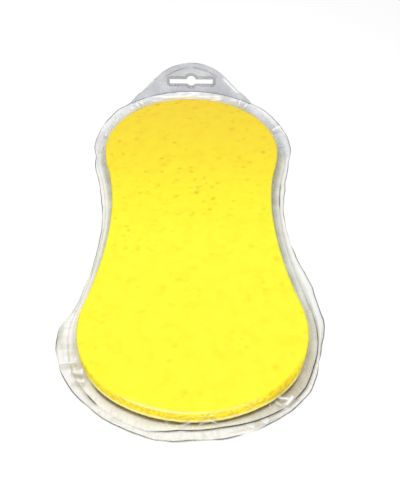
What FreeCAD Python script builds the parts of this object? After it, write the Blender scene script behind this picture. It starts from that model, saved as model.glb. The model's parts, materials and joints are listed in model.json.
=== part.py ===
import FreeCAD, Part
import math
import os

# A flat hourglass foam sponge sealed in a clear welded film pouch, with a hang tab that bends at its neck.
# Millimetres: +X across, +Y towards the hang tab, +Z up. The origin is on the base, under the waist.

# Sponge
sponge_length = 220.0
sponge_width = 101.0
waist_width = 84.0
sponge_thickness = 7.0
sponge_edge_radius = 0.9
near_end_radius = 61.0
near_shoulder_radius = 39.75

# Film: a front sheet and a back sheet of the same gauge
film_thickness = 0.3
side_clearance = 0.3        # from the sponge's side to the film, where the film leaves the sponge's face
skirt_margin = 4.2          # from the sponge's side to where the sheets meet
weld_gap = 0.8              # from there to the weld bead
weld_width = 1.1
weld_height = 0.25
cut_margin = 2.4            # from the weld bead to the cut edge of the film

# The far end's flange rises from the base to the level of the sponge's top face
curl_start = 62.0
curl_length = 46.0

# Neck, where the tab bends
neck_length = 0.9           # from the weld bead to the bend line
crease_radius = 0.4
crease_clearance = 0.35     # from the crease to the edge of the tab's plies
foot_half_width = 40.5
foot_outer_radius = 4.0
foot_inner_radius = 5.0

# Hang tab, measured in its own plane from the bend line
tab_angle = 45.0
tab_length = 19.0
tab_top_radius = 31.4
slot_height = 7.0           # from the bend line to the middle of the slot
slot_length = 31.0
slot_width = 5.6
slot_corner_radius = 1.6
slot_circle_radius = 4.5
slot_circle_rise = 0.5      # from the middle of the slot to the middle of its circle
rim_width = 0.75
rim_height = 0.45
arch_radius = 26.0
arch_width = 0.8
arch_height = 0.35
arch_half_angle = 33.0
arch_gap = 2.7              # from the slot's rim to the arch, over the circle


def point(x, y, z=0.0):
    return FreeCAD.Vector(x, y, z)


def arc(centre, radius, start, end, z=0.0):
    """Edge that runs anticlockwise between two angles in degrees."""
    circle = Part.Circle(point(*centre, z), point(0, 0, 1), radius)
    return Part.ArcOfCircle(circle, math.radians(start), math.radians(end)).toShape()


def mirrored(shape):
    return shape.mirror(point(0, 0), point(1, 0))


def closed_wire(edges):
    return Part.Wire(Part.__sortEdges__(edges))


def prism(wire, low, high):
    """Solid between two heights over a wire that is drawn at height 0."""
    face = Part.Face(wire)
    face.translate(point(0, 0, low))
    return face.extrude(point(0, 0, high - low))


def box_about(centre, length, width, low, high):
    corner = point(centre[0] - length / 2, centre[1] - width / 2, low)
    return Part.makeBox(length, width, high - low, corner)


def disc(centre, radius, low, high):
    return Part.makeCylinder(radius, high - low, point(*centre, low))


def round_corners(solid, radius, spots):
    """Round the upright edges that stand on the given spots."""
    edges = []
    for edge in solid.Edges:
        ends = [vertex.Point for vertex in edge.Vertexes]
        upright = len(ends) == 2 and abs(ends[0].z - ends[1].z) > abs(ends[0].x - ends[1].x)
        if upright and any(math.dist((ends[0].x, ends[0].y), spot) < radius / 10 for spot in spots):
            edges.append(edge)
    return solid.makeFillet(radius, edges)


def waist_radius(shoulder, shoulder_radius):
    """Radius of the hollow arc that touches a shoulder arc and runs along +Y at the waist."""
    step = waist_width / 2 - shoulder[0]
    return (step ** 2 + shoulder[1] ** 2 - shoulder_radius ** 2) / (2 * (shoulder_radius - step))


def direction(start, end):
    return math.degrees(math.atan2(end[1] - start[1], end[0] - start[0]))


# Centres of the outline's arcs
far_radius = sponge_width / 2
far_centre = (0.0, sponge_length / 2 - far_radius)
near_centre = (0.0, near_end_radius - sponge_length / 2)
shoulder_x = sponge_width / 2 - near_shoulder_radius
shoulder_drop = math.sqrt((near_end_radius - near_shoulder_radius) ** 2 - shoulder_x ** 2)
shoulder = (shoulder_x, near_centre[1] - shoulder_drop)
far_waist_radius = waist_radius(far_centre, far_radius)
near_waist_radius = waist_radius(shoulder, near_shoulder_radius)
far_waist = (waist_width / 2 + far_waist_radius, 0.0)
near_waist = (waist_width / 2 + near_waist_radius, 0.0)

# Distances out from the sponge's side
weld_margin = skirt_margin + weld_gap
flange_margin = weld_margin + weld_width + cut_margin

# Levels
base_sheet_level = film_thickness                      # where the two sheets meet, around the near end
top_sheet_level = film_thickness + sponge_thickness    # where they meet at the neck, level with the sponge's top

# Bend line
hinge_y = sponge_length / 2 + weld_margin + weld_width + neck_length
hinge = point(0, hinge_y, top_sheet_level)


def outline(offset, z=0.0):
    """The sponge's hourglass outline, grown evenly by an offset."""
    far_turn = direction(far_centre, far_waist)
    near_turn = direction(shoulder, near_waist)
    end_turn = direction(near_centre, shoulder)
    side = [
        arc(far_waist, far_waist_radius - offset, 180 + far_turn, 180, z),
        arc(near_waist, near_waist_radius - offset, 180, 180 + near_turn, z),
        arc(shoulder, near_shoulder_radius + offset, end_turn, near_turn, z),
    ]
    ends = [
        arc(far_centre, far_radius + offset, far_turn, 180 - far_turn, z),
        arc(near_centre, near_end_radius + offset, -180 - end_turn, end_turn, z),
    ]
    return closed_wire(ends + side + [mirrored(edge) for edge in side])


def between_outlines(inner, outer, low, high):
    return prism(outline(outer), low, high).cut(prism(outline(inner), low, high))


def sheet_curve(lift):
    """Side view of where the sheets meet, moved squarely off itself by a lift: level, two arcs up, level."""
    turn = 2 * math.atan2(sponge_thickness, curl_length)
    radius = curl_length / 2 / math.sin(turn)

    def on_arc(centre_y, centre_z, size, angle):
        return point(0, centre_y + size * math.sin(angle), centre_z - size * math.cos(angle))

    def bend(centre_y, centre_z, size, first, last):
        ends = [on_arc(centre_y, centre_z, size, angle) for angle in (first, (first + last) / 2, last)]
        return Part.Arc(*ends).toShape()

    rise = bend(curl_start, base_sheet_level + radius, radius - lift, 0, turn)
    settle = bend(curl_start + curl_length, top_sheet_level - radius, radius + lift, math.pi + turn, math.pi)
    near_end = point(0, -sponge_length, base_sheet_level + lift)
    far_end = point(0, sponge_length, top_sheet_level + lift)
    lead = Part.LineSegment(near_end, point(0, curl_start, base_sheet_level + lift)).toShape()
    tail = Part.LineSegment(point(0, curl_start + curl_length, top_sheet_level + lift), far_end).toShape()
    return [lead, rise, settle, tail], near_end, far_end


def across(edges):
    """Solid that carries a closed side view over the whole width."""
    face = Part.Face(closed_wire(edges))
    face.translate(point(-sponge_width, 0, 0))
    return face.extrude(point(2 * sponge_width, 0, 0))


def line(start, end):
    return Part.LineSegment(start, end).toShape()


def sheet(low_lift, high_lift):
    """Curved layer between two lifts."""
    low_edges, low_near, low_far = sheet_curve(low_lift)
    high_edges, high_near, high_far = sheet_curve(high_lift)
    return across(low_edges + high_edges + [line(low_near, high_near), line(low_far, high_far)])


def space_beyond(height):
    """Everything between where the sheets meet and a height above or below it."""
    edges, near_end, far_end = sheet_curve(0)
    near_corner = point(0, near_end.y, height)
    far_corner = point(0, far_end.y, height)
    frame = [line(near_end, near_corner), line(near_corner, far_corner), line(far_corner, far_end)]
    return across(edges + frame)


def bulge(face_level, wall, low, high):
    """Tapered solid: close to the sponge's side at face_level, and skirt_margin out at the other level."""
    slope = (skirt_margin - side_clearance) / sponge_thickness

    def offset(z):
        return side_clearance + wall + slope * abs(z - face_level)

    return Part.makeLoft([outline(offset(low), low), outline(offset(high), high)], True, True)


def make_flange_blank():
    """Upright blank of the film's cut outline, with the foot of the tab."""
    low = -film_thickness
    high = top_sheet_level + 3 * film_thickness
    half_chord = tab_flank(0)
    flank_end = hinge_y - (foot_half_width - half_chord)
    circle_rise = math.sqrt((far_radius + flange_margin) ** 2 - foot_half_width ** 2)
    foot_start = far_centre[1] + circle_rise
    side = [
        line(point(half_chord, hinge_y), point(foot_half_width, flank_end)),
        line(point(foot_half_width, flank_end), point(foot_half_width, far_centre[1])),
    ]
    ends = [
        line(point(-half_chord, hinge_y), point(half_chord, hinge_y)),
        line(point(-foot_half_width, far_centre[1]), point(foot_half_width, far_centre[1])),
    ]
    foot = prism(closed_wire(side + ends + [mirrored(edge) for edge in side]), low, high)
    beyond_hinge = box_about((0, hinge_y + sponge_width / 2), 2 * sponge_width, sponge_width, low, high)
    blank = prism(outline(flange_margin), low, high).cut(beyond_hinge).fuse(foot).removeSplitter()
    outer = [(foot_half_width, flank_end), (-foot_half_width, flank_end)]
    inner = [(foot_half_width, foot_start), (-foot_half_width, foot_start)]
    return round_corners(round_corners(blank, foot_outer_radius, outer), foot_inner_radius, inner)


def tab_flank(height):
    """Half width of the tab at a height below its round top, where its sides run at 45 degrees."""
    return tab_length - tab_top_radius + tab_top_radius * math.sqrt(2) - height


def raise_tab(solid):
    """Carry a solid from the tab's own plane, bend line at height 0, to the resting tab."""
    solid = solid.copy()
    solid.translate(hinge)
    solid.rotate(hinge, point(1, 0), tab_angle)
    return solid


def slot_blank(margin, low, high):
    """The hang slot's shape, grown by a margin."""
    bar = box_about((0, slot_height), slot_length + 2 * margin, slot_width + 2 * margin, low, high)
    half_length = slot_length / 2 + margin
    half_width = slot_width / 2 + margin
    corners = [(x, slot_height + y) for x in (-half_length, half_length) for y in (-half_width, half_width)]
    bar = round_corners(bar, slot_corner_radius + margin, corners)
    circle = disc((0, slot_height + slot_circle_rise), slot_circle_radius + margin, low, high)
    return bar.fuse(circle).removeSplitter()


def make_sponge():
    block = prism(outline(0), base_sheet_level, top_sheet_level)
    edges = [edge for edge in block.Edges if edge.BoundBox.ZLength < sponge_thickness / 2]
    return block.makeFillet(sponge_edge_radius, edges)


def make_crease():
    half_chord = tab_flank(0)
    start = point(-half_chord, hinge_y, top_sheet_level)
    return Part.makeCylinder(crease_radius, 2 * half_chord, start, point(1, 0))


def make_film(low_lift, high_lift, face_level, beyond, inner_low, inner_high):
    """One sheet: its flange, its skirt and its face, emptied where the sponge lies."""
    flange = sheet(low_lift, high_lift).common(make_flange_blank())
    outer_low = min(beyond, base_sheet_level)
    outer_high = max(beyond, top_sheet_level)
    body = bulge(face_level, film_thickness, outer_low, outer_high).common(space_beyond(beyond))
    cavity = bulge(face_level, 0, inner_low, inner_high)
    return flange.fuse(body).cut(cavity).cut(make_crease()).removeSplitter()


def make_front_film():
    top = top_sheet_level + film_thickness
    return make_film(0, film_thickness, top_sheet_level, top, 0, top_sheet_level)


def make_back_film():
    top = top_sheet_level + film_thickness
    return make_film(-film_thickness, 0, base_sheet_level, 0, base_sheet_level, top)


def make_weld():
    bead = between_outlines(weld_margin, weld_margin + weld_width, 0, top_sheet_level + 3 * film_thickness)
    return bead.common(sheet(film_thickness, film_thickness + weld_height))


def make_tab_ply(low, high):
    start = crease_radius + crease_clearance
    middle = (0, tab_length - tab_top_radius)
    touch = tab_top_radius / math.sqrt(2)
    side = [line(point(tab_flank(start), start), point(touch, middle[1] + touch))]
    ends = [
        line(point(-tab_flank(start), start), point(tab_flank(start), start)),
        arc(middle, tab_top_radius, 45, 135),
    ]
    ply = prism(closed_wire(side + ends + [mirrored(edge) for edge in side]), low, high)
    return raise_tab(ply.cut(slot_blank(0, low, high)))


def make_slot_rim():
    low = film_thickness
    high = film_thickness + rim_height
    return raise_tab(slot_blank(rim_width, low, high).cut(slot_blank(0, low, high)))


def make_arch_rib():
    circle_top = slot_height + slot_circle_rise + slot_circle_radius + rim_width
    middle = (0, circle_top + arch_gap - arch_radius)
    start = 90 - arch_half_angle
    end = 90 + arch_half_angle
    turn = math.radians(start)
    radii = (arch_radius, arch_radius + arch_width)
    tip = [point(r * math.cos(turn), middle[1] + r * math.sin(turn)) for r in radii]
    cap = line(*tip)
    edges = [arc(middle, radius, start, end) for radius in radii] + [cap, mirrored(cap)]
    return raise_tab(prism(closed_wire(edges), film_thickness, film_thickness + arch_height))


nodes = {
    "sponge": make_sponge(),
    "front_film": make_front_film(),
    "back_film": make_back_film(),
    "perimeter_weld": make_weld(),
    "neck_crease": make_crease(),
    "tab_front_ply": make_tab_ply(0, film_thickness),
    "tab_back_ply": make_tab_ply(-film_thickness, 0),
    "slot_rim": make_slot_rim(),
    "arch_rib": make_arch_rib(),
}

os.makedirs("parts", exist_ok=True)
for name, shape in nodes.items():
    shape.exportStep("parts/" + name + ".step")
    size = shape.BoundBox
    print(name, shape.isValid(), len(shape.Solids), round(shape.Volume, 1),
          [round(v, 2) for v in (size.XMin, size.XMax, size.YMin, size.YMax, size.ZMin, size.ZMax)])
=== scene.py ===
import bpy
import bmesh
import json
import random
from math import asin, atan2, copysign, cos, degrees, exp, hypot, pi, prod, radians, sin, sqrt, tan
from mathutils import Matrix, Vector, kdtree
from mathutils.noise import noise


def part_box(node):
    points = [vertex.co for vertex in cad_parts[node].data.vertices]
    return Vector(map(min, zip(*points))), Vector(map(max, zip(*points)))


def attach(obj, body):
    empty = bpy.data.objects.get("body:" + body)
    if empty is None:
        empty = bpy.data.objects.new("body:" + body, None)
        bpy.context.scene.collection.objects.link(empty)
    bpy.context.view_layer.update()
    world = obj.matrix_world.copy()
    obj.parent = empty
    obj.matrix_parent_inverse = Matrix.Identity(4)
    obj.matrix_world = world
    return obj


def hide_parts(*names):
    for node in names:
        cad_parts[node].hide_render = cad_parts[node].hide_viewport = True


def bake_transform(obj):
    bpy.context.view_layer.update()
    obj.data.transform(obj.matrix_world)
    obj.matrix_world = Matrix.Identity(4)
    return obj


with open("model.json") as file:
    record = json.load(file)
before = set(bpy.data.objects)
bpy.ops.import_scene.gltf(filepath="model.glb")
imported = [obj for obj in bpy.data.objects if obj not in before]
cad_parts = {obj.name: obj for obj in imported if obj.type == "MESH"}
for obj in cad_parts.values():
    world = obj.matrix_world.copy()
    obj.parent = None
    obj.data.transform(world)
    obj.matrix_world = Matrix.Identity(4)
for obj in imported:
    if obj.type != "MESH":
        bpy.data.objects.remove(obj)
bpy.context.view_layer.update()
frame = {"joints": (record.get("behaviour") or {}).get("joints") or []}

# A foam sponge sealed in a clear film pouch with a hang tab. Metres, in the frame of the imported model.

spongeLow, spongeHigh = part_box("sponge")
tabJoint = frame["joints"][0]
hingeY = tabJoint["pos_m"][1]
hingeZ = tabJoint["pos_m"][2]

# The outline that sponge, film and weld follow. Length, width and levels come from the frame.
sponge = {
    "length": round(spongeHigh.y - spongeLow.y, 3), "width": round(spongeHigh.x - spongeLow.x, 3),
    "waist": 0.084, "endRadius": 0.061, "shoulderRadius": 0.03975, "bottom": spongeLow.z,
    "top": spongeHigh.z, "edge": 0.0011, "seed": 11,
}

film = {
    "gauge": 0.0003, "skirtFoot": 0.0042, "weldInner": 0.0050, "weldOuter": 0.0061, "cut": 0.0085,
    "curlStart": 0.062, "curlLength": 0.046, "bendRadius": 0.0032,
}

weldMiddle = (film["weldInner"] + film["weldOuter"]) / 2

tab = {
    "angle": radians(45), "length": 0.019, "topRadius": 0.0314, "footAngle": radians(48),
    "flankAngle": radians(114.6), "footRadius": 0.004, "slotHeight": 0.0070,
    "slotLength": 0.031, "slotWidth": 0.0056, "slotCorner": 0.0016, "circleRadius": 0.0045,
    "circleRise": 0.0005,
}


def collectionLink(name, mesh):
    piece = bpy.data.objects.new(name, mesh)
    bpy.context.scene.collection.objects.link(piece)
    return piece


def keepMesh(bm, name):
    mesh = bpy.data.meshes.new(name)
    bm.to_mesh(mesh)
    bm.free()
    return mesh


def wayAt(angle):
    return Vector((cos(angle), sin(angle)))


def vertsOf(parts):
    return [part for part in parts if isinstance(part, bmesh.types.BMVert)]


# Outline

farRadius = sponge["width"] / 2
farCentre = Vector((0, sponge["length"] / 2 - farRadius))
endCentre = Vector((0, sponge["endRadius"] - sponge["length"] / 2))
shoulderX = farRadius - sponge["shoulderRadius"]
shoulderDrop = sqrt((sponge["endRadius"] - sponge["shoulderRadius"]) ** 2 - shoulderX ** 2)
shoulder = Vector((shoulderX, endCentre.y - shoulderDrop))


def waistRadius(centre, radius):
    step = sponge["waist"] / 2 - centre.x
    return (step ** 2 + centre.y ** 2 - radius ** 2) / (2 * (radius - step))


farWaistRadius = waistRadius(farCentre, farRadius)
nearWaistRadius = waistRadius(shoulder, sponge["shoulderRadius"])
farWaist = Vector((sponge["waist"] / 2 + farWaistRadius, 0))
nearWaist = Vector((sponge["waist"] / 2 + nearWaistRadius, 0))
farTurn = atan2(farWaist.y - farCentre.y, farWaist.x - farCentre.x)
nearTurn = atan2(nearWaist.y - shoulder.y, nearWaist.x - shoulder.x)
endTurn = atan2(shoulder.y - endCentre.y, shoulder.x - endCentre.x)


def fromSide(x, y):
    # how far a point lies outside the sponge's side, and the way straight out
    spot = Vector((abs(x), y))
    fromFar = spot - farCentre
    fromShoulder = spot - shoulder
    fromEnd = spot - endCentre
    if y >= 0 and atan2(fromFar.y, fromFar.x) >= farTurn:
        reach, way = fromFar.length - farRadius, fromFar
    elif y >= 0:
        reach, way = farWaistRadius - (spot - farWaist).length, farWaist - spot
    elif atan2(fromShoulder.y, fromShoulder.x) > nearTurn and spot.x > shoulder.x:
        reach, way = nearWaistRadius - (spot - nearWaist).length, nearWaist - spot
    elif atan2(fromEnd.y, fromEnd.x) < endTurn:
        reach, way = fromEnd.length - sponge["endRadius"], fromEnd
    else:
        reach, way = fromShoulder.length - sponge["shoulderRadius"], fromShoulder
    way = way.normalized() if way.length > 1e-9 else Vector((0, 1))
    if x < 0:
        way.x = -way.x
    return reach, way


def moveFrom(place, heading, size, turn, pieces):
    # one straight run, or one round turn that is positive to the left: its way, its pivot and its step
    ahead = wayAt(heading).to_3d()
    if not turn:
        return ahead, place.copy(), ahead * size / pieces
    left = Vector((-ahead.y, ahead.x, 0))
    return ahead, place + left * size * copysign(1, turn), (0, 0, 0)


def drawPath(bm, start, heading, moves):
    # one vertex walks along straight runs and round turns
    path = [bmesh.ops.create_vert(bm, co=(*start, 0))["vert"][0]]
    for size, turn, pieces in moves:
        if pieces:    # with 0 it only turns on the spot
            _ahead, pivot, step = moveFrom(path[-1].co, heading, size, turn, pieces)
            for _piece in range(pieces):
                spun = bmesh.ops.spin(bm, geom=[path[-1]], cent=pivot, axis=(0, 0, 1), dvec=step,
                                      angle=turn / pieces, steps=1)
                path += vertsOf(spun["geom_last"])
        heading += turn
    return path


def closePath(bm, path):
    last = path.pop()
    bmesh.ops.weld_verts(bm, targetmap={last: path[0]})
    return path


def edgesOf(path):
    ring = path + path[:1]
    found = []
    for a, b in zip(ring, ring[1:]):
        found += [edge for edge in a.link_edges if edge.other_vert(a) is b]
    return found


footAngle = tab["footAngle"]   # where the tab's foot leaves the flange, about the far centre


def hourglassMoves(offset, spacing, wholeFar=True):
    # anticlockwise from the far end's middle, or from the tab's left foot to its right foot
    turns = [(farRadius, offset, pi / 2 - footAngle), (farRadius, offset, footAngle - farTurn),
             (farWaistRadius, -offset, farTurn), (nearWaistRadius, -offset, -nearTurn),
             (sponge["shoulderRadius"], offset, nearTurn - endTurn)]
    end = [(sponge["endRadius"], offset, pi + 2 * endTurn)]
    half = turns if wholeFar else turns[1:]
    return [(size + grown, turn, max(2, round(size * abs(turn) / spacing)))
            for size, grown, turn in half + end + half[::-1]]


def hourglass(bm, offset, spacing):
    start = (0, farCentre.y + farRadius + offset)
    return closePath(bm, drawPath(bm, start, pi, hourglassMoves(offset, spacing)))


def smooth(low, high, value):
    # low may lie above high, for a share that falls
    t = min(max((value - low) / (high - low), 0), 1)
    return t * t * (3 - 2 * t)


def growing(value, low, high, first, more):
    return first + more * smooth(low, high, value)


def bell(distance, width):
    return exp(-(distance / width) ** 2)


def sheetLevel(y):
    # where the two sheets meet: level round the near end, then up in two arcs to the neck
    rise = hingeZ - sponge["bottom"]
    turn = 2 * atan2(rise, film["curlLength"])
    radius = film["curlLength"] / 2 / sin(turn)
    along = y - film["curlStart"]
    if along <= 0:
        return sponge["bottom"]
    if along < film["curlLength"] / 2:
        return sponge["bottom"] + radius - sqrt(radius ** 2 - along ** 2)
    left = max(film["curlLength"] - along, 0)
    return hingeZ - radius + sqrt(radius ** 2 - left ** 2)


# Materials

def newMaterial(name):
    material = bpy.data.materials.new(name)
    material.use_nodes = True
    nodes = material.node_tree.nodes
    nodes.clear()
    return material, nodes


def fill(node, name, value):
    # an input, by its name or number, takes another node's output or a value of its own
    socket = node.inputs[name]
    if isinstance(value, bpy.types.NodeSocket):
        node.id_data.links.new(value, socket)
    else:
        socket.default_value = (*value, 1) if socket.type == "RGBA" else value


def addNode(nodes, kind, *firstInputs, **values):
    node = nodes.new("ShaderNode" + kind)
    for name, value in values.items():
        if name in node.inputs:
            fill(node, name, value)
        else:
            setattr(node, name, value)
    for number, value in enumerate(firstInputs):
        fill(node, number, value)
    return node


def addMath(nodes, operation, first, second, clamp=False):
    return addNode(nodes, "Math", first, second, operation=operation, use_clamp=clamp).outputs[0]


def addProduct(nodes, product, *factors):
    for factor in factors:
        product = addMath(nodes, "MULTIPLY", product, factor)
    return product


def addRange(nodes, value, fromRange=(0, 1), toRange=(0, 1)):
    return addNode(nodes, "MapRange", value, *fromRange, *toRange).outputs[0]


def addMix(nodes, share, first, second, blend="MIX"):
    mix = addNode(nodes, "Mix", share, data_type="RGBA", blend_type=blend)
    fill(mix, 6, first)
    fill(mix, 7, second)
    return mix.outputs[2]


def addNoise(nodes, place, scale, detail, roughness=0.5, output="Fac"):
    texture = addNode(nodes, "TexNoise", Vector=place, Scale=scale, Detail=detail, Roughness=roughness)
    return texture.outputs[output]


def addRamp(nodes, value, stops):
    ramp = addNode(nodes, "ValToRGB", value)
    elements = ramp.color_ramp.elements
    while len(elements) < len(stops):
        elements.new(1.0)
    for element, (position, colour) in zip(elements, stops):
        element.position = position
        element.color = (*colour, 1)
    return ramp.outputs[0]


def readAttribute(nodes, name):
    return addNode(nodes, "Attribute", attribute_name=name).outputs["Fac"]


foamFinish = {
    # shares of the length from the near end, and the face's colour there: painted light, lemon near, golden
    # far
    "tones": ((0.0, (0.935, 0.920, 0.022)), (0.42, (0.935, 0.920, 0.022)), (0.58, (0.935, 0.850, 0.012)),
              (0.72, (0.925, 0.750, 0.008)), (1.0, (0.875, 0.640, 0.007))),
    "mottleSize": 150.0, "mottle": ((0.34, (0.97, 0.93, 0.45)), (0.56, (1, 1, 1))), "wallSize": 700.0,
    # the sides' colour: painted shade, deeper and more orange than the face
    "wall": ((0.40, (0.86, 0.60, 0.001)), (0.52, (0.97, 0.83, 0.002))),
    "deepShade": (0.90, 0.82, 0.30),    # times the foam's own colour: deeper painted shade on the near end's right side
    "pore": (0.82, 0.65, 0.0),     # times the foam's own colour in a pore: painted shade in pits, speckled tone in specks
    "raggedSize": 900.0, "ragged": (0.0007, 0.0007, 0), "speckSize": 560.0,
    "speckStretch": (0.55, 0.8, 1), "speckEdge": (0.45, 0.25),
    "speckRarity": (0.72, 6.5),    # share of cells without a speck, and how few of the rest are strong
    "speckLength": (0.35, 0.75),   # shares of the length between which the specks grow strong
    "speckNear": 0.40, "footLine": (1.0, 0.93, 0.30), "footHeight": (0.0028, 0.0022),
    "footEnd": (-0.078, -0.092), "cellSize": 900.0, "grainSize": 500.0, "bump": (0.25, 0.0004),
    "roughness": 0.85, "sheen": 0.2,
}


def makeFoamMaterial():
    look = foamFinish
    material, nodes = newMaterial("yellowFoam")
    place = addNode(nodes, "TexCoord").outputs["Object"]
    split = addNode(nodes, "SeparateXYZ", place)
    along = addRange(nodes, split.outputs["Y"], (-sponge["length"] / 2, sponge["length"] / 2))
    mottle = addRamp(nodes, addNoise(nodes, place, look["mottleSize"], 5.0, 0.65), look["mottle"])
    # painted light: the face runs from bright lemon at the near end to deeper golden at the far end
    colour = addMix(nodes, 1.0, addRamp(nodes, along, look["tones"]), mottle, "MULTIPLY")
    # painted shade on the sides and on the near end's crushed rim
    onWall = readAttribute(nodes, "wall")
    wallTone = addRamp(nodes, addNoise(nodes, place, look["wallSize"], 3.0), look["wall"])
    colour = addMix(nodes, onWall, colour, wallTone)
    # painted shade, deeper on the side at the near end's right
    colour = addMix(nodes, readAttribute(nodes, "deepShade"), colour, look["deepShade"], "MULTIPLY")

    # specks: a few of many ragged cells, fainter towards the near end and none on the cut side
    ragged = addNoise(nodes, place, look["raggedSize"], 2.0, output="Color")
    wander = addNode(nodes, "VectorMath", ragged, look["ragged"], place, operation="MULTIPLY_ADD")
    stretch = addNode(nodes, "Mapping", Vector=wander.outputs[0], Scale=look["speckStretch"])
    cells = addNode(nodes, "TexVoronoi", voronoi_dimensions="2D", Vector=stretch.outputs[0],
                    Scale=look["speckSize"])
    dot = addRange(nodes, cells.outputs["Distance"], look["speckEdge"])
    pick = addNode(nodes, "SeparateColor", cells.outputs["Color"]).outputs[0]
    lowest, power = look["speckRarity"]
    chosen = addMath(nodes, "POWER", addRange(nodes, pick, (lowest, 1)), power)
    offWall = addRange(nodes, onWall, (0, 1), (1, 0))
    farther = addRange(nodes, along, look["speckLength"], (look["speckNear"], 1))
    speck = addProduct(nodes, dot, chosen, offWall, farther)
    # painted shade in the pits, and the specks' own darker tone
    inPore = addMath(nodes, "MAXIMUM", readAttribute(nodes, "pore"), speck)
    colour = addMix(nodes, inPore, colour, look["pore"], "MULTIPLY")

    # painted highlight: a pale line where the near end's crushed lower edge catches the light
    levels = [sponge["bottom"] + height for height in look["footHeight"]]
    low = addRange(nodes, split.outputs["Z"], levels)
    nearest = addRange(nodes, split.outputs["Y"], look["footEnd"])
    colour = addMix(nodes, addProduct(nodes, low, nearest, onWall), colour, look["footLine"])

    grain = addNode(nodes, "TexVoronoi", Vector=place, Scale=look["cellSize"])
    fine = addNoise(nodes, place, look["grainSize"], 3.0)
    height = addMath(nodes, "ADD", grain.outputs["Distance"], fine)
    bump = addNode(nodes, "Bump", *look["bump"], Height=height).outputs[0]
    surface = addNode(nodes, "BsdfPrincipled", colour, Roughness=look["roughness"], Normal=bump)
    fill(surface, "Specular IOR Level", look["sheen"])
    addNode(nodes, "OutputMaterial", surface.outputs[0])
    return material


filmFinish = {
    # the film's colour, from the near end to the far end, and where along it: y and shares between those
    # the near end's warm tint is painted yellow light from the sponge
    "veils": ((0.46, 0.41, 0.25), (0.36, 0.41, 0.33), (0.36, 0.41, 0.33), (0.40, 0.41, 0.46)),
    # white: the painted highlights' colour; shade: the painted shade's; besideFoam: the sponge's yellow
    # light, painted
    "veilRange": (-0.09, 0.10), "veilStops": (0.0, 0.24, 0.62, 0.85), "white": (0.97, 0.97, 0.97),
    "shade": (0.20, 0.135, 0.020), "besideFoam": (0.82, 0.70, 0.22), "dark": (0.07, 0.07, 0.065),
    "cloudSize": 90.0, "cloud": (0.7, 1.3), "rippleSize": 260.0, "bump": (0.12, 0.0004),
    "roughness": 0.3, "mirror": 0.034, "mirrorRoughness": 0.09, "dullHaze": (0.34, 0.42),
    "dullMirror": 0.2,
}


def makeFilmMaterial(name, veils):
    # haze: how much of its own colour the film shows; tone raises it to painted highlight or lowers it to
    # painted shade
    look = filmFinish
    material, nodes = newMaterial(name)
    place = addNode(nodes, "TexCoord").outputs["Object"]
    haze = readAttribute(nodes, "haze")
    tone = readAttribute(nodes, "tone")
    cloud = addNoise(nodes, place, look["cloudSize"], 3.0)
    opacity = addMath(nodes, "MULTIPLY", haze, addRange(nodes, cloud, (0.3, 0.7), look["cloud"]), True)
    split = addNode(nodes, "SeparateXYZ", place)
    along = addRange(nodes, split.outputs["Y"], look["veilRange"])
    colour = addRamp(nodes, along, list(zip(look["veilStops"], veils)))
    colour = addMix(nodes, tone, colour, look["white"])
    colour = addMix(nodes, addMath(nodes, "MULTIPLY", tone, -1.0, True), colour, look["shade"])
    # painted yellow light from the sponge on the film beside it
    colour = addMix(nodes, readAttribute(nodes, "foamLight"), colour, look["besideFoam"])

    ripple = addNoise(nodes, place, look["rippleSize"], 2.0)
    bump = addNode(nodes, "Bump", *look["bump"], Height=ripple).outputs[0]
    body = addNode(nodes, "BsdfPrincipled", colour, Roughness=look["roughness"], Alpha=opacity, Normal=bump)
    gloss = addNode(nodes, "BsdfGlossy", Roughness=look["mirrorRoughness"], Normal=bump)
    facing = addNode(nodes, "LayerWeight", Blend=0.5, Normal=bump).outputs["Facing"]
    mirror = addRange(nodes, addMath(nodes, "POWER", facing, 5.0), (0, 1), (look["mirror"], 1))
    inside = addNode(nodes, "NewGeometry").outputs["Backfacing"]
    outside = addMath(nodes, "SUBTRACT", 1.0, inside)
    # film that is dull with scuffs mirrors less
    clear = addRange(nodes, haze, look["dullHaze"], (1, look["dullMirror"]))
    share = addProduct(nodes, mirror, outside, clear)
    mixed = addNode(nodes, "MixShader", share, body.outputs[0], gloss.outputs[0])
    addNode(nodes, "OutputMaterial", mixed.outputs[0])
    return material


# Camera, lamps and floor

cameraSet = {
    "place": (-0.00298, -0.21084, 0.20866), "ahead": (0.0242, 0.6798, -0.7330),
    "up": (-0.0023, 0.7333, 0.6799), "lens": 40.68, "sensor": 36, "clip": (0.01, 20),
}


def makeCamera():
    data = bpy.data.cameras.new("camera")
    data.lens = cameraSet["lens"]
    data.sensor_width = cameraSet["sensor"]
    data.clip_start, data.clip_end = cameraSet["clip"]
    camera = collectionLink("camera", data)
    ahead = Vector(cameraSet["ahead"]).normalized()
    up = Vector(cameraSet["up"]).normalized()
    right = ahead.cross(up).normalized()
    turn = Matrix((right, right.cross(ahead), -ahead)).transposed()
    camera.matrix_world = Matrix.Translation(cameraSet["place"]) @ turn.to_4x4()
    bpy.context.scene.camera = camera


lampSet = {
    "sky": 0.50,
    "above": {"place": (-0.12, 0.03, 1.0), "size": 0.6, "power": 5.9, "mirrored": False},
    "front": {"place": (0.15, -1.15, 0.26), "size": 0.40, "power": 4.2, "mirrored": True},
}


def makeLamp(name, place, size, power, mirrored):
    data = bpy.data.lights.new(name, "AREA")
    data.shape = "DISK"
    data.size = size
    data.energy = power
    lamp = collectionLink(name, data)
    lamp.location = place
    lamp.visible_glossy = mirrored
    lamp.rotation_euler = (-Vector(place)).to_track_quat("-Z", "Y").to_euler()


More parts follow.
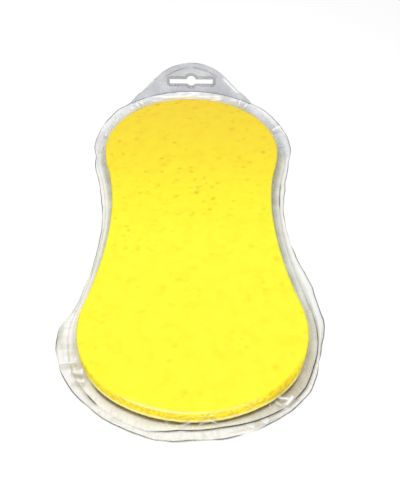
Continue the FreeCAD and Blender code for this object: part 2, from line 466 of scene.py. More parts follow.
def addSight(nodes):
    # 1 for what is seen straight, in a mirror or through clear matter, 0 for what only lights
    rays = addNode(nodes, "LightPath").outputs
    seen = addMath(nodes, "MAXIMUM", rays["Is Camera Ray"], rays["Is Glossy Ray"])
    return addMath(nodes, "MAXIMUM", seen, rays["Is Transmission Ray"])


def makeSky():
    world = bpy.data.worlds.new("studio")
    bpy.context.scene.world = world
    world.use_nodes = True
    nodes = world.node_tree.nodes
    nodes.clear()
    strength = addRange(nodes, addSight(nodes), (0, 1), (lampSet["sky"], 1))
    background = addNode(nodes, "Background", Color=(1, 1, 1), Strength=strength)
    addNode(nodes, "OutputWorld", background.outputs[0])


floorSet = {
    "half": 4.0, "drop": 0.00005, "colour": (0.985, 0.985, 0.985), "glowRange": (0.3, 1.6),
    "glow": 0.55,
}


def makeFloor():
    bm = bmesh.new()
    bmesh.ops.create_grid(bm, x_segments=1, y_segments=1, size=floorSet["half"])
    floor = collectionLink("floor", keepMesh(bm, "floor"))
    floor.location.z = -floorSet["drop"]
    material, nodes = newMaterial("paleFloor")
    surface = addNode(nodes, "BsdfDiffuse", floorSet["colour"])
    # away from the lamps the floor glows up to white wherever it is seen
    place = addNode(nodes, "TexCoord").outputs["Object"]
    distance = addNode(nodes, "VectorMath", place, operation="LENGTH").outputs["Value"]
    glow = addRange(nodes, distance, floorSet["glowRange"], (0, floorSet["glow"]))
    light = addNode(nodes, "Emission", Strength=addProduct(nodes, glow, addSight(nodes)))
    both = addNode(nodes, "AddShader", surface.outputs[0], light.outputs[0])
    addNode(nodes, "OutputMaterial", both.outputs[0])
    floor.data.materials.append(material)


makeCamera()
makeSky()
makeLamp("aboveLamp", **lampSet["above"])
makeLamp("frontLamp", **lampSet["front"])
makeFloor()
bpy.context.scene.view_settings.view_transform = "Standard"
print("camera, lamps and floor are set")


# Sponge

foamShape = {
    "spacing": 0.0022, "voxel": 0.0008, "pores": 900,
    "crowding": 0.75,             # below 1, more pores lie towards the far end
    "bigShare": 0.05, "bigGrowth": 1.2, "growth": (0.6, 0.9), "poreLength": (0.0011, 0.0024),
    "poreWidth": (0.7, 1.1),      # times the length
    "poreDepth": (0.00015, 0.0005), "poreTurn": 0.5, "poreEdge": 2.2, "poreInset": 0.002,
    # how dark a pore is, as painted shade in its pit, and how that grows along the sponge
    "poreTone": (0.08, 0.40), "toneGrowth": (-0.05, 0.02, 0.6, 0.4), "bigTone": (-0.055, -0.01, 0.15, 0.40),
    "toneGain": 1.8, "upperShare": 0.6, "wallSlope": (0.45, 0.90), "shrink": 0.0001,
    "swell": (60, 0.00018),       # waves per metre, and height
    "fine": (700, 0.00007),
    # the near end: its foot flares; at the right its rim is crushed, with painted shade on rim and side
    "nearEnd": -0.070, "nearReach": -0.004, "flare": 0.0005,
    "flareAt": {"z": (0.0045, 0.0010), "reach": (-0.003, 0.0), "end": (0.075, 0.095)},
    "crush": 0.0012,
    "crushAt": {"x": (0.006, 0.024), "z": (0.003, 0.005), "end": (0.078, 0.090)},
    "crushReach": (-0.0034, 0.0), "crushedWall": (-0.0022, -0.0010),
    "deepShadeX": ((0.026, 0.033), (0.045, 0.038)),
}


def shareAt(ranges, spot):
    return prod(smooth(*limits, spot[name]) for name, limits in ranges.items())


def makeSpongeBlock():
    bm = bmesh.new()
    path = hourglass(bm, 0, foamShape["spacing"])
    base = bmesh.ops.contextual_create(bm, geom=edgesOf(path))["faces"]
    for vert in bm.verts:
        vert.co.z = sponge["bottom"]
    top = bmesh.ops.extrude_face_region(bm, geom=base)["geom"]
    bmesh.ops.translate(bm, vec=(0, 0, sponge["top"] - sponge["bottom"]), verts=vertsOf(top))
    rims = [edge for edge in bm.edges if abs(edge.verts[0].co.z - edge.verts[1].co.z) < 1e-6]
    bmesh.ops.bevel(bm, geom=rims, offset=sponge["edge"], offset_type="OFFSET", affect="EDGES", segments=3,
                    profile=0.5, material=-1)
    bmesh.ops.recalc_face_normals(bm, faces=bm.faces)
    return keepMesh(bm, "spongeFoam")


def pitFoam(mesh):
    # pores in both faces: how dark, as painted shade, and how deep each vertex lies in one
    shape = foamShape
    chance = random.Random(sponge["seed"])
    tree = kdtree.KDTree(len(mesh.vertices))
    for vert in mesh.vertices:
        tree.insert(vert.co, vert.index)
    tree.balance()
    dark = [0.0] * len(mesh.vertices)
    deep = [0.0] * len(mesh.vertices)
    for _pore in range(shape["pores"]):
        x = chance.uniform(-farRadius, farRadius)
        y = sponge["length"] * (chance.random() ** shape["crowding"] - 0.5)
        big = chance.random() < shape["bigShare"]
        length = chance.uniform(*shape["poreLength"])
        least, more = shape["growth"]
        length *= shape["bigGrowth"] if big else least + more * chance.random() ** 3
        width = length * chance.uniform(*shape["poreWidth"])
        depth = chance.uniform(*shape["poreDepth"])
        turn = chance.uniform(-shape["poreTurn"], shape["poreTurn"])
        strength = chance.uniform(*shape["poreTone"]) * growing(y, *shape["toneGrowth"])
        if big:
            strength = growing(y, *shape["bigTone"])
        face = sponge["top"] if chance.random() < shape["upperShare"] else sponge["bottom"]
        if fromSide(x, y)[0] > -shape["poreInset"]:
            continue
        for co, index, _distance in tree.find_range((x, y, face), length):
            dx = co.x - x
            dy = co.y - y
            across = (dx * cos(turn) + dy * sin(turn)) / length
            up = (dy * cos(turn) - dx * sin(turn)) / width
            inside = max(0, 1 - shape["poreEdge"] * (across ** 2 + up ** 2))
            dark[index] = max(dark[index], inside * strength)
            deep[index] = max(deep[index], inside * depth)
    return dark, deep


def makeSponge():
    shape = foamShape
    piece = collectionLink("spongeFoam", makeSpongeBlock())
    remesh = piece.modifiers.new("evenFoam", "REMESH")
    remesh.mode = "VOXEL"
    remesh.voxel_size = shape["voxel"]
    mesh = bpy.data.meshes.new_from_object(piece.evaluated_get(bpy.context.evaluated_depsgraph_get()))
    piece.modifiers.clear()
    piece.data = mesh
    print("sponge faces", len(mesh.polygons))

    dark, deep = pitFoam(mesh)
    ways = [vert.normal.copy() for vert in mesh.vertices]
    wall = [1 - smooth(*shape["wallSlope"], abs(way.z)) for way in ways]
    deepShade = [0.0] * len(mesh.vertices)
    swellScale, swell = shape["swell"]
    fineScale, fineHeight = shape["fine"]
    for vert, way, pull in zip(mesh.vertices, ways, deep):
        roll = noise(vert.co * swellScale) * swell
        fine = noise(vert.co * fineScale) * fineHeight
        vert.co -= way * (pull + shape["shrink"] - roll * 0.5 - fine)
        x, y, z = vert.co
        if y > shape["nearEnd"]:
            continue
        reach, outward = fromSide(x, y)
        if reach < shape["nearReach"]:
            continue
        spot = {"x": x, "z": z, "end": -y, "reach": reach}
        vert.co += outward.to_3d() * shape["flare"] * shareAt(shape["flareAt"], spot)
        crushed = shareAt(shape["crushAt"], spot)
        vert.co.z -= shape["crush"] * crushed * smooth(*shape["crushReach"], reach)
        # painted shade: the crushed rim takes the sides' shaded colour
        wall[vert.index] = max(wall[vert.index], crushed * smooth(*shape["crushedWall"], reach))
        # deeper painted shade on the side at the near end's right
        deepShade[vert.index] = wall[vert.index] * prod(smooth(*limits, x) for limits in shape["deepShadeX"])
    pore = [min(1, share * shape["toneGain"]) for share in dark]
    for name, values in (("pore", pore), ("wall", wall), ("deepShade", deepShade)):
        mesh.attributes.new(name, "FLOAT", "POINT").data.foreach_set("value", values)
    mesh.shade_smooth()
    mesh.materials.append(makeFoamMaterial())
    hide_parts("sponge")
    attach(piece, "pouch")


makeSponge()
print("sponge is made")


# Film sheets

sheetShape = {
    "spacing": 0.00055,
    # distances outside the sponge, in tenths of a mm
    "rings": (-260, -150, -90, -60, -40, -26, -18, -12, -8, -4, 0, 4, 8, 12, 16, 20, 24, 28, 32, 37, 42,
              46, 50, 55.5, 61, 65, 69, 73, 77, 81, 85),
    "neckRing": 0.0061, "gridStep": 0.0009, "gridRows": (-4, 38), "gridColumns": (-48, 49),
    # where the skirt starts, where it turns steep, and how much of the drop lies between
    "skirt": (-0.0014, 0.0004, 0.10),
    "wander": ((130, 0.0004), (420, 0.00012)),    # waves per metre, and reach
    "lift": 0.0010, "liftScale": 70, "creaseSlope": 0.6, "offTab": (0.098, 0.106),
}

# The pouch is cut and welded by hand: degrees round its middle, and mm outside the sponge
cutLine = [
    (-180, 4.9), (-150, 4.6), (-139, 5.0), (-135.5, 5.6), (-132, 8.9), (-127, 9.2), (-122, 8.8),
    (-113, 7.7), (-104, 7.8), (-97, 8.4), (-90, 7.0), (-84, 7.6), (-68, 7.3), (-63, 7.7), (-56, 5.6),
    (-52, 6.3), (-47, 8.8), (-38, 11.0), (-33, 10.4), (-24, 8.8), (-8, 7.3), (8, 6.8), (28, 7.4),
    (41, 6.8), (48, 9.6), (54, 10.9), (63, 9.1), (112, 7.4), (115.5, 8.6), (119.5, 8.2), (124, 9.3),
    (129, 8.7), (132, 7.8), (136, 6.0), (147, 6.4), (160, 6.1), (180, 4.9),
]
weldLine = [
    (-180, 3.7), (-140, 3.9), (-114, 4.6), (-99, 5.9), (-93, 3.4), (-84, 3.0), (-77, 4.2), (-71, 5.0),
    (-64, 5.2), (-59, 4.3), (-51, 4.8), (-40, 6.0), (-20, 5.4), (15, 5.0), (41, 4.6), (60, 5.5), (120, 5.2),
    (150, 4.4), (180, 3.7),
]


def readLine(line, x, y):
    bearing = degrees(atan2(y, x))
    for (low, first), (high, second) in zip(line, line[1:]):
        if bearing <= high:
            return first + (second - first) * (bearing - low) / (high - low)
    return line[-1][1]


def tabMoves(spacing):
    # the tab's cut outline in its own plane, from its right foot to its left foot
    topTouch = tab["topRadius"] / sqrt(2)
    goal = Vector((topTouch, hingeY + tab["length"] - tab["topRadius"] + topTouch))
    inner = footAngle + pi / 2 - tab["flankAngle"]
    outer = tab["flankAngle"] - radians(135)
    foot = tab["footRadius"]
    for turn, heading in ((-inner, footAngle + pi / 2), (-outer, tab["flankAngle"])):
        goal -= wayAt(heading + turn / 2) * (2 * foot * sin(abs(turn) / 2))
    goal -= Vector(footPoint())
    ways = Matrix((wayAt(tab["flankAngle"]), wayAt(radians(135))))
    upright, flank = ways.transposed().inverted() @ goal
    rise = [(foot, -inner), (upright, 0), (foot, -outer), (flank, 0)]
    moves = rise + [(tab["topRadius"], pi / 2)] + rise[::-1]
    return [(size, turn, max(2, round(size * abs(turn or 1) / spacing))) for size, turn in moves]


def footPoint():
    radius = farRadius + film["cut"]
    return radius * cos(footAngle), farCentre.y + radius * sin(footAngle)


def slotPath(bm, margin):
    # the hang slot's outline, anticlockwise from the right end of its arm
    half = tab["slotWidth"] / 2 + margin
    radius = tab["circleRadius"] + margin
    corner = tab["slotCorner"] + margin
    end = tab["slotLength"] / 2 + margin
    side = (2 * (half - corner), 0, 3)
    corners = (corner, pi / 2, 4)
    moves = []
    for level in (half - tab["circleRise"], half + tab["circleRise"]):
        angle = asin(level / radius)
        arm = (end - corner - radius * cos(angle), 0, 10)
        kink = (0, angle - pi / 2, 0)
        moves += [side, corners, arm, kink, (radius, pi - 2 * angle, 12), kink, arm, corners]
    start = (end, hingeY + tab["slotHeight"] - half + corner)
    return closePath(bm, drawPath(bm, start, pi / 2, moves))


creaseShape = {
    "seed": 21, "slant": 0.35,
    # degrees round the far end and the near end, places along the waist, and how far each strays
    "shoulders": (-8, 2, 11, 21, 30, 38, 46, 53, 59), "nearEnd": (-168, 0, 9), "nearInset": 0.008,
    "waist": (-0.045, 0.0125, 8), "waistHalf": 0.044, "stray": (3, 4, 0.004),
    # where a crease starts and ends outside the sponge, half width and height; its leans; how white its
    # painted highlight may be
    "atShoulder": ((-0.0006, (0.005, 0.0082), (0.0004, 0.0008), (0.0003, 0.0007)), (), (0.15, 0.25, 0.7)),
    "atNearEnd": (((0.0018, 0.0035), (0.0045, 0.008), (0.0003, 0.0006), (0.0002, 0.0004)), (-0.9, 0.9),
                  (0.05, 0.15, 0.3)),
    "atWaist": ((0.0012, (0.003, 0.007), (0.0003, 0.0006), (0.0001, 0.0003)), (-1.1, 1.1), (0.03, 0.06, 0.2)),
    # folds with a painted highlight: half width and height, then each fold's place in mm, its heading in
    # degrees, its length in mm and how white its highlight is
    "sharp": (0.0009, 0.0008, (
        (-48.2, 72.9, 135, 7.0, 1), (-32.8, 98.0, 114, 6.2, 1), (-29.8, 100.8, 128, 5.0, 1),
        (41.0, -98.6, -130, 6.4, 1), (33.0, 98.5, 62, 6.0, 1), (49.5, 80.5, 35, 6.5, 1),
        (-48.0, -83.2, 180, 9.0, 1), (-44.3, -89.9, 157, 7.5, 1), (-44.0, -92.8, 166, 6.5, 1),
    )),
    "onTab": (0.0009, 0.0003, (
        (20.6, 126.4, -45, 19.0, 0.7), (-37.5, 109.0, 62, 9.0, 0.7), (-30.0, 119.5, 45, 8.0, 0.7),
    )),
    # round the far left, then two spots puckered by the weld
    "fine": (0.00042, 0.0004, (
        (-46.0, 87.1, 103, 4.4, 1), (-45.6, 87.4, 175, 3.8, 1), (-42.3, 84.0, 123, 2.8, 1),
        (-39.6, 89.4, 123, 2.8, 1), (-34.2, 98.7, 174, 4.2, 1), (-0.3, -111.3, -161, 6.6, 0.5),
        (-0.8, -111.9, -163, 4.2, 0.4), (2.0, -112.7, 19, 5.2, 0.5), (2.1, -111.6, -89, 2.2, 0.6),
        (5.8, -111.1, -16, 4.6, 0.6), (33.4, -101.6, 13, 6.4, 1), (32.0, -102.6, -12, 4.6, 0.9),
        (30.0, -103.4, -55, 2.8, 0.6), (52.8, -56.4, 20, 2.2, 1), (49.0, -85.2, -50, 2.6, 1),
    )),
    "longest": 0.018,
}


def makeCreases():
    # each crease: where it starts, its way, its length, half width, height, and how white its crest's painted
    # highlight is
    shape = creaseShape
    chance = random.Random(shape["seed"])
    found = []

    def fromEdge(x, y, kind):
        sizes, leans, pales = shape[kind]
        drawn = [chance.uniform(*size) if isinstance(size, tuple) else size for size in sizes]
        inner, outer, width, height = drawn
        lean = chance.choice(leans) if leans else 0
        way = fromSide(x, y)[1].copy()
        way.rotate(Matrix.Rotation(lean + chance.uniform(-shape["slant"], shape["slant"]), 2))
        found.append((Vector((x, y)) + way * inner, way, outer - inner, width, height, chance.choice(pales)))

    atFar, atNear, atWaist = shape["stray"]
    for bearing in shape["shoulders"]:
        for side in (-1, 1):
            x, y = farCentre + wayAt(radians(bearing + chance.uniform(-atFar, atFar))) * farRadius
            fromEdge(side * x, y, "atShoulder")
    for bearing in range(*shape["nearEnd"]):
        angle = radians(bearing + chance.uniform(-atNear, atNear))
        y = endCentre.y + sponge["endRadius"] * sin(angle)
        fromEdge((sponge["endRadius"] - shape["nearInset"]) * cos(angle), y, "atNearEnd")
    first, step, count = shape["waist"]
    for number in range(count):
        for side in (-1, 1):
            y = first + number * step + chance.uniform(-atWaist, atWaist)
            fromEdge(side * shape["waistHalf"], y, "atWaist")
    for kind in ("sharp", "onTab", "fine"):
        width, height, folds = shape[kind]
        for x, y, bearing, length, pale in folds:
            found.append((Vector((x, y)) / 1000, wayAt(radians(bearing)), length / 1000, width, height, pale))
    return found


creases = makeCreases()


def creaseAt(x, y):
    # how high a crease stands, how white its crest's painted highlight is and how grey the painted shade
    # beside it
    height = 0.0
    white = 0.0
    grey = 0.0
    for start, way, length, width, high, pale in creases:
        dx = x - start.x
        dy = y - start.y
        if max(abs(dx), abs(dy)) > creaseShape["longest"]:
            continue
        along = dx * way.x + dy * way.y
        across = dx * way.y - dy * way.x
        if abs(across) < 4 * width and 0 < along < length:
            ends = smooth(0, 0.001, along) * (1 - smooth(length - 0.001, length, along))
            share = bell(across, width) * ends
            height = max(height, high * share)
            white = max(white, pale * share ** 2)
            grey = max(grey, pale * ends * bell(across + 2 * width, width))
    return height, white, grey


def skirtDrop(reach):
    # 0 on the sponge's face, 1 where the sheets meet
    top, bend, dip = sheetShape["skirt"]
    if reach < top:
        return 0.0
    if reach < bend:
        return dip * smooth(top, bend, reach)
    share = min((reach - bend) / (film["skirtFoot"] - bend), 1)
    return dip + (1 - dip) * (1 - (1 - share) ** 1.5)


def bendTab(x, y, height):
    # carries a point from the flat plan onto the raised tab, round a soft bend
    along = y - hingeY
    radius = film["bendRadius"]
    reach = radius * tan(tab["angle"] / 2)
    if along <= -reach:
        return Vector((x, y, hingeZ + height))
    turn = min((along + reach) / (2 * reach) * tab["angle"], tab["angle"])
    past = max(along - reach, 0)
    y = hingeY - reach + (radius - height) * sin(turn) + past * cos(tab["angle"])
    z = hingeZ + radius - (radius - height) * cos(turn) + past * sin(tab["angle"])
    return Vector((x, y, z))


def filmPoint(co, side):
    # a point of the flat plan, its height counted from where the sheets meet, carried to its place
    x, y, height = co
    reach, way = fromSide(x, y)
    if y > hingeY - 0.0015 and reach > film["weldOuter"]:
        return bendTab(x, y, height + creaseAt(x, y)[0] * smooth(hingeY, hingeY + 0.002, y))
    atWeld = readLine(weldLine, x, y) / 1000 - weldMiddle
    atCut = readLine(cutLine, x, y) / 1000 - film["cut"]
    for scale, most in sheetShape["wander"]:
        atCut += noise(Vector((x, y, 0)) * scale) * most
    flange = smooth(weldMiddle, film["cut"], reach)
    offTab = 1 - smooth(*sheetShape["offTab"], y)
    shift = atWeld * smooth(0, weldMiddle, reach) * (1 - flange) + atCut * flange
    x += way.x * shift * offTab
    y += way.y * shift * offTab
    level = sheetLevel(y)
    if side > 0:
        level += (sponge["top"] - level) * (1 - skirtDrop(reach))
    if side < 0:
        level -= (level - sponge["bottom"]) * (1 - skirtDrop(reach))
    wave = 0.5 + 0.5 * noise(Vector((x, y, 0)) * sheetShape["liftScale"])
    rise = flange * offTab * sheetShape["lift"] * wave * wave
    crease = creaseAt(x, y)[0] if side > 0 or reach > film["skirtFoot"] else 0
    slope = sheetShape["creaseSlope"] * (1 - flange) * smooth(-0.001, 0.001, reach)
    return Vector((x + way.x * crease * slope, y + way.y * crease * slope, level + height + rise + crease))


hazeShape = {
    # where each zone fades in along the pouch, then the haze of each part
    "nearZone": (0.03, 0.07), "farZone": (0.045, 0.075), "neckZone": (0.098, 0.108),
    "tabZone": (0.099, 0.103), "tab": 0.44, "underArch": -0.12, "archBand": (0.1275, 0.1285),
    "archEnds": (0.0250, 0.0235), "archMiddle": 0.108, "front": 0.02, "frontRange": (0.0012, 0.003),
    "ripple": 0.30, "rippleRange": (0.0046, 0.0055), "skirt": 0.035, "rightSkirt": 0.30,
    "farSkirt": 0.17, "waistSkirt": 0.03, "besideFoam": 0.26, "flange": 0.05, "neck": 0.42,
    "rimLine": 0.34, "rimWidth": 0.00045, "foamLight": 0.50, "creaseGrey": 0.28, "creaseWhite": 0.95,
    "contactShade": 0.85, "contactWidth": 0.0010, "greyStreak": 0.10, "whiteStreak": 0.22,
    "rightRange": (0.0, 0.04), "contactNear": (0.085, 0.103, 0.12, 0.88), "contactFar": (0.09, 0.06),
    "rimLineNear": (0.098, 0.106), "rimLineRight": (0.031, 0.024), "tabCreases": 0.116,
    "leafReflection": ((-0.0482, -0.0892), -25, (0.0036, 0.0014), 0.42),   # middle, degrees, half sizes, haze
}


def streakAt(x, y, reach, way):
    # crinkles that run out from the sponge, from -1 grey to 1 white; the white is a painted highlight
    foot = Vector((x - way.x * reach, y - way.y * reach, reach * 0.4))
    fine = 1.6 * noise(foot * 640) + 1.2 * noise(foot * 260 + Vector((9, 4, 2)))
    return min(max(fine, -1), 1)


def zonesAt(y):
    # shares of the near end, the far end and the waist
    nearEnd = smooth(*hazeShape["nearZone"], -y)
    farEnd = smooth(*hazeShape["farZone"], y)
    return nearEnd, farEnd, (1 - nearEnd) * (1 - farEnd)


def contactAt(reach):
    # 1 along the line where the sponge's side meets the sheets
    return bell(reach - 0.0003, hazeShape["contactWidth"])


def foamLightAt(x, y):
    # painted light: how much of the sponge's yellow light the film shows at the far end
    return contactAt(fromSide(x, y)[0]) * zonesAt(y)[1]


def backHaze(x, y, reach, onTab):
    # the lower sheet is grey beside the sponge as painted shade, and dark painted shade against the sponge's
    # foot
    shape = hazeShape
    nearEnd, farEnd, waist = zonesAt(y)
    atRight = smooth(*shape["rightRange"], x) * (1 - 0.35 * waist)
    veil = shape["skirt"] + (shape["rightSkirt"] - shape["skirt"]) * atRight
    veil += shape["farSkirt"] * farEnd + shape["waistSkirt"] * waist
    # painted shade beside the sponge
    veil += shape["besideFoam"] * bell(reach - 0.0015, 0.0020) * (1 - nearEnd) * (1 - 0.7 * farEnd)
    veil *= 1 - 0.7 * smooth(*shape["neckZone"], y)
    flange = shape["flange"] + 0.7 * shape["farSkirt"] * farEnd
    veil += (flange - veil) * smooth(film["weldOuter"], film["weldOuter"] + 0.001, reach)
    # painted shade where the sheets lie against the sponge's foot, strongest at the near end, faint all round
    shade = growing(-y, *shape["contactNear"]) * shape["contactShade"] * contactAt(reach)
    shade = max(shade, 0.22 * smooth(0.0055, 0.0005, reach))
    shade *= smooth(*shape["contactFar"], y)
    haze = (1 - (1 - veil) * (1 - shade)) * smooth(-0.001, 0.0, reach)
    return haze + (shape["tab"] - haze) * onTab, -min(1, shade * 2) * (1 - onTab)


def leafReflectionAt(x, y):
    # painted reflection: a small grey leaf-shaped patch in the flange at the near left
    (middleX, middleY), bearing, (long, wide), _haze = hazeShape["leafReflection"]
    spot = Vector((x - middleX, y - middleY))
    spot.rotate(Matrix.Rotation(-radians(bearing), 2))
    return smooth(1.15, 0.85, hypot(spot.x / long, spot.y / wide))


def hazeAt(x, y, side):
    # how much of its own colour the film shows, and how far painted highlight or painted shade changes it
    shape = hazeShape
    reach, way = fromSide(x, y)
    if reach < -0.0016:
        return 0.0, 0.0
    onTab = smooth(foldShape["reach"] - 0.0002, foldShape["reach"] + 0.0008, reach)
    onTab *= smooth(*shape["tabZone"], y)
    if side < 0:
        return backHaze(x, y, reach, onTab)
    neck = smooth(*shape["neckZone"], y) * (1 - onTab)
    nearEnd, farEnd, _waist = zonesAt(y)
    haze = shape["front"] * smooth(*shape["frontRange"], reach)
    # fine lines run along the flange of the near end
    ripple = smooth(0.0, 0.5, noise(Vector((atan2(y, x) * 5, reach * 900, 7))))
    haze += shape["ripple"] * ripple * smooth(*shape["rippleRange"], reach) * nearEnd
    # painted highlight: white patches across the neck band
    patch = noise(Vector((x * 160, y * 400, 3))) + 0.4 * bell(x, 0.026)
    haze += (shape["neck"] + 0.7 * max(patch, -0.2) - haze) * neck
    underArch = smooth(*shape["archEnds"], hypot(x, y - shape["archMiddle"]))
    underArch *= smooth(*shape["archBand"], y)
    haze += (shape["tab"] + shape["underArch"] * underArch - haze) * onTab

    start = 0.0005 + 0.0016 * nearEnd
    streak = streakAt(x, y, reach, way) * smooth(start, start + 0.002, reach) * (1 - max(onTab, neck))
    streak *= 0.35 + 0.65 * max(nearEnd, farEnd)
    # painted highlight on the white crinkles
    pale = smooth(0.45, 0.95, streak) * (0.3 + 0.7 * nearEnd)
    haze += shape["greyStreak"] * smooth(0.3, 0.9, -streak) + shape["whiteStreak"] * pale
    # a painted reflection at the near left
    leafReflection = leafReflectionAt(x, y)
    haze += (shape["leafReflection"][-1] - haze) * leafReflection
    tone = max(neck, pale) * (1 - leafReflection)
    _height, white, grey = creaseAt(x, y)
    if y < shape["tabCreases"]:
        white *= 1 - onTab
        grey *= 1 - onTab
    # painted shade in the hollow beside a crease
    haze += shape["creaseGrey"] * grey
    tone *= 1 - 0.8 * grey
    # painted highlight where taut film shines along the sponge's upper rim at the near end
    rimLine = shape["rimLine"] * bell(reach + 0.0006, shape["rimWidth"])
    rimLine *= smooth(*shape["rimLineNear"], -y) * (1 - 0.4 * smooth(0.0, 0.01, x))
    rimLine *= smooth(*shape["rimLineRight"], x)
    # painted highlight on the crests
    haze += (shape["creaseWhite"] - haze) * white
    haze += (1 - haze) * rimLine
    # painted yellow light from the sponge beside it at the far end
    haze = max(haze, shape["foamLight"] * foamLightAt(x, y))
    return haze, max(tone, min(1, 2.5 * white), min(1, 4 * rimLine))


def makeSheet(name, side, nodes):
    shape = sheetShape
    bm = bmesh.new()
    mark = bm.faces.layers.int.new("tabFaces")
    haze, tone, foamLight = [bm.verts.layers.float.new(layer) for layer in ("haze", "tone", "foamLight")]
    offsets = [ring / 10000 for ring in shape["rings"]]
    loops = [hourglass(bm, offsets[0], shape["spacing"])]
    rim = edgesOf(loops[0])
    bmesh.ops.contextual_create(bm, geom=rim)
    for inner, outer in zip(offsets, offsets[1:]):
        grown = bmesh.ops.extrude_edge_only(bm, edges=rim)["geom"]
        rim = [part for part in grown if isinstance(part, bmesh.types.BMEdge)]
        loops.append(vertsOf(grown))
        for vert in loops[-1]:
            vert.co += fromSide(*vert.co.xy)[1].to_3d() * (outer - inner)

    def angleOf(vert):
        return atan2(vert.co.y - farCentre.y, abs(vert.co.x))

    spare = []
    for offset, loop in zip(offsets, loops):
        if offset > shape["neckRing"] + 1e-6:
            spare += [vert for vert in loop if angleOf(vert) > footAngle + 1e-4]
    bmesh.ops.delete(bm, geom=spare, context="VERTS")
    drawPath(bm, footPoint(), footAngle + pi / 2, tabMoves(shape["spacing"] * 1.3))
    slotPath(bm, rimRings[0][0])
    bmesh.ops.remove_doubles(bm, verts=bm.verts[:], dist=1e-6)
    border = [edge for edge in bm.edges if edge.is_wire
              or edge.is_boundary and all(angleOf(vert) > footAngle - 1e-4 for vert in edge.verts)]
    before = set(bm.faces)
    bmesh.ops.triangle_fill(bm, edges=border, use_beauty=True, use_dissolve=False, normal=(0, 0, 1))
    for face in [face for face in bm.faces if face not in before]:
        face[mark] = 1
    step = shape["gridStep"]
    cuts = [((0, footPoint()[1] + step * k, 0), (0, 1, 0)) for k in range(*shape["gridRows"])]
    cuts += [((step * k, 0, 0), (1, 0, 0)) for k in range(*shape["gridColumns"])]
    for place, way in cuts:
        faces = [face for face in bm.faces if face[mark]]
        edges = list({edge for face in faces for edge in face.edges})
        verts = list({vert for face in faces for vert in face.verts})
        bmesh.ops.bisect_plane(bm, geom=faces + edges + verts, dist=1e-6, plane_co=place, plane_no=way)
    for vert in bm.verts:
        vert[haze], vert[tone] = hazeAt(*vert.co.xy, side)
        vert[foamLight] = foamLightAt(*vert.co.xy) if side > 0 else 0
        vert.co.z = side * film["gauge"] / 2
        vert.co = filmPoint(vert.co, side)
    bmesh.ops.recalc_face_normals(bm, faces=bm.faces)
    lowest = min(bm.faces, key=lambda face: face.calc_center_median().y)
    if lowest.normal.z * side < 0:
        bmesh.ops.reverse_faces(bm, faces=bm.faces)
    piece = finishFilm(bm, name, filmMaterial)
    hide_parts(*nodes)
    blendAtNeck(piece)
    print(name, "faces", len(piece.data.polygons))


def finishFilm(bm, name, material):
    for face in bm.faces:
        face.smooth = True
    piece = collectionLink(name, keepMesh(bm, name))
    piece.data.materials.append(material)
    return piece


def blendAtNeck(piece):
    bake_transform(piece)


foldShape = {"reach": 0.0073, "half": radians(41), "width": 0.00045, "height": 0.0002, "ink": 0.52,
             "steps": 80}
# the slot's rim, from its inner edge: distance outside the slot's outline, height, and how dark it reads
rimRings = (
    (-0.0014, 0.0, 0.34), (-0.0012, 0.00026, 0.25), (-0.0009, 0.00036, 0.03), (-0.0006, 0.00038, 0.02),
    (-0.0003, 0.00036, 0.04), (0.00015, 0.00026, 0.27), (0.00035, 0.0, 0.36),
)
filmMaterial = makeFilmMaterial("clearFilm", filmFinish["veils"])
makeSheet("frontSheet", 1, ["front_film", "tab_front_ply"])
makeSheet("backSheet", -1, ["back_film", "tab_back_ply"])


# Weld bead, cut edge, neck fold and the tab's raised ribs

def makeSection(bm, centre, heading, points):
    # a closed section standing across the way it will be swept; points are (to the right, up)
    right = Vector((sin(heading), -cos(heading), 0))
    verts = []
    for out, up in points:
        verts += bmesh.ops.create_vert(bm, co=centre + right * out + Vector((0, 0, up)))["vert"]
    ring = verts + verts[:1]
    return verts + [bm.edges.new(pair) for pair in zip(ring, ring[1:])]


def sweepSection(bm, section, centre, heading, moves):
    # carries a section as drawPath carries a vertex
    place = Vector(centre)
    for size, turn, pieces in moves:
        ahead, pivot, step = moveFrom(place, heading, size, turn, pieces)
        section = bmesh.ops.spin(bm, geom=section, cent=pivot, axis=(0, 0, 1), dvec=step, angle=turn,
                                 steps=pieces, use_duplicate=False)["geom_last"]
        heading += turn
        place = pivot + Matrix.Rotation(turn, 3, "Z") @ (place - pivot) if turn else place + ahead * size
    return section


def halfRound(shape, count=6):
    # a section that stands on the upper sheet
    turns = [pi * k / count for k in range(count + 1)]
    return [(cos(turn) * shape["width"] / 2, film["gauge"] + sin(turn) * shape["height"])
            for turn in turns]


def sweepRib(bm, shape, middle, radius, start, turn, steps):
    # a half-round rib on an arc about a point, closed at both ends
    centre = middle + wayAt(start).to_3d() * radius
    heading = start + pi / 2
    section = makeSection(bm, centre, heading, halfRound(shape))
    bmesh.ops.contextual_create(bm, geom=section[:])
    last = sweepSection(bm, section, centre, heading, [(radius, turn, steps)])
    bmesh.ops.contextual_create(bm, geom=last)


def finishBead(bm, name, place, ink):
    # ink: how dark the line reads at a point of the flat plan
    haze, tone = [bm.verts.layers.float.new(layer) for layer in ("haze", "tone")]
    bmesh.ops.remove_doubles(bm, verts=bm.verts[:], dist=2e-6)
    bmesh.ops.recalc_face_normals(bm, faces=bm.faces)
    for vert in bm.verts:
        dark = ink(vert.co)
        vert[haze] = 0.06 + 0.94 * dark
        vert[tone] = max(0, 1 - 2.5 * dark)
        vert.co = place(vert.co)
    return finishFilm(bm, name, beadMaterial)


weldShape = {"spacing": 0.0010, "width": 0.00050, "height": 0.00022}
edgeShape = {"spacing": 0.0011, "width": 0.00036, "ink": 0.68, "tabInk": 0.40}

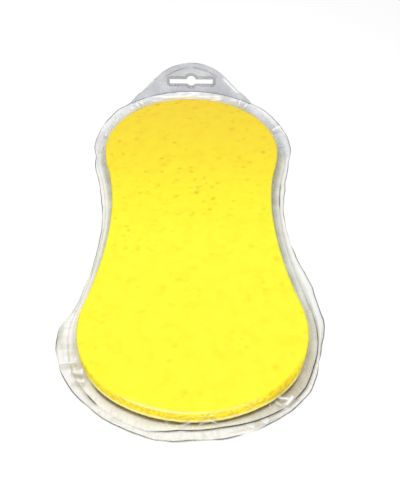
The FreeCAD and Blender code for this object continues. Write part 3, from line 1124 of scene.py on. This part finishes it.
# how dark the weld reads, in degrees round the pouch's middle
weldInk = [
    (-180, 0.08), (-122, 0.06), (-118, 0.15), (-114, 0.25), (-113, 0.75), (-111.5, 0.7), (-110.5, 0.05),
    (-103, 0.06), (-99, 0.2), (-96, 0.45), (-93, 0.9), (-84, 1.0), (-78, 1.0), (-76, 0.75), (-75, 0.9),
    (-74, 0.5), (-72, 0.85), (-71, 0.2), (-68, 0.2), (-66.5, 0.6), (-65.5, 0.85), (-62, 1.0), (-60, 1.0),
    (-58.5, 0.6), (-54, 0.5), (-48, 0.3), (-44, 0.15), (-10, 0.06), (12, 0.1), (18, 0.4), (30, 0.45),
    (34, 0.08), (60, 0.02), (120, 0.02), (135, 0.06), (180, 0.08),
]


def onSheets(co):
    return filmPoint(co, 0)


def makeWeld():
    bm = bmesh.new()
    centre = Vector((0, farCentre.y + farRadius + weldMiddle, 0))
    section = makeSection(bm, centre, pi, halfRound(weldShape))
    sweepSection(bm, section, centre, pi, hourglassMoves(weldMiddle, weldShape["spacing"]))
    piece = finishBead(bm, "weldBead", onSheets, lambda co: readLine(weldInk, *co.xy))
    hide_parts("perimeter_weld")
    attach(piece, "pouch")


def makeCutEdge():
    # where the sheets were cut: up one side of the tab, down the other and round the flange
    bm = bmesh.new()
    half = edgeShape["width"] / 2
    points = [(half * cos(pi * k / 4), half * sin(pi * k / 4)) for k in range(8)]
    centre = Vector((*footPoint(), 0))
    heading = footAngle + pi / 2
    section = makeSection(bm, centre, heading, points)
    moves = tabMoves(edgeShape["spacing"]) + hourglassMoves(film["cut"], edgeShape["spacing"], False)
    sweepSection(bm, section, centre, heading, moves)

    def ink(co):
        dark = edgeShape["tabInk"] if co.y > 0.105 else edgeShape["ink"]
        atLeft = smooth(0.020, 0.035, -co.x) * smooth(0.0, 0.03, -co.y) * smooth(0.095, 0.085, -co.y)
        return min(1, dark * (1 - 0.5 * atLeft) * (0.75 + noise(co * 90)))

    piece = finishBead(bm, "cutEdge", onSheets, ink)
    blendAtNeck(piece)


def makeNeckFold():
    bm = bmesh.new()
    half = foldShape["half"]
    sweepRib(bm, foldShape, farCentre.to_3d(), farRadius + foldShape["reach"], pi / 2 - half, 2 * half,
             foldShape["steps"])
    piece = finishBead(bm, "neckFold", onSheets, lambda _co: foldShape["ink"])
    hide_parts("neck_crease")
    blendAtNeck(piece)


beadMaterial = makeFilmMaterial("pinchedFilm", [filmFinish["dark"]] * 4)
makeWeld()
makeCutEdge()
makeNeckFold()
print("weld, cut edge and neck fold are made")


def onTabPlane(co):
    x, y, height = co
    along = y - hingeY
    cosine = cos(tab["angle"])
    sine = sin(tab["angle"])
    return Vector((x, hingeY + along * cosine - height * sine, hingeZ + along * sine + height * cosine))


def makeSlotRim():
    bm = bmesh.new()
    loops = []
    inkOf = {}
    for margin, height, dark in rimRings:
        loop = slotPath(bm, margin)
        for vert in loop:
            vert.co.z = film["gauge"] + height
            inkOf[tuple(vert.co)] = dark
        loops.append(loop)
    for inner, outer in zip(loops, loops[1:] + loops[:1]):
        bmesh.ops.bridge_loops(bm, edges=edgesOf(inner) + edgesOf(outer))
    piece = finishBead(bm, "slotRim", onTabPlane, lambda co: inkOf.get(tuple(co), 0.3))
    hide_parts("slot_rim")
    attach(piece, "hang_tab")


archShape = {
    "radius": 0.026, "width": 0.0007, "height": 0.00035, "gap": 0.0027, "rimWidth": 0.00075,
    "ink": 0.27, "arcs": ((50, 87), (94, 130)),
}


def makeArch():
    bm = bmesh.new()
    topOfRim = tab["slotHeight"] + tab["circleRise"] + tab["circleRadius"] + archShape["rimWidth"]
    middle = Vector((0, hingeY + topOfRim + archShape["gap"] - archShape["radius"], 0))
    for start, end in archShape["arcs"]:
        sweepRib(bm, archShape, middle, archShape["radius"] + archShape["width"] / 2, radians(start),
                 radians(end - start), end - start)
    piece = finishBead(bm, "archRib", onTabPlane, lambda _co: archShape["ink"])
    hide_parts("arch_rib")
    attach(piece, "hang_tab")


makeSlotRim()
makeArch()
print("slot rim and arch are made")
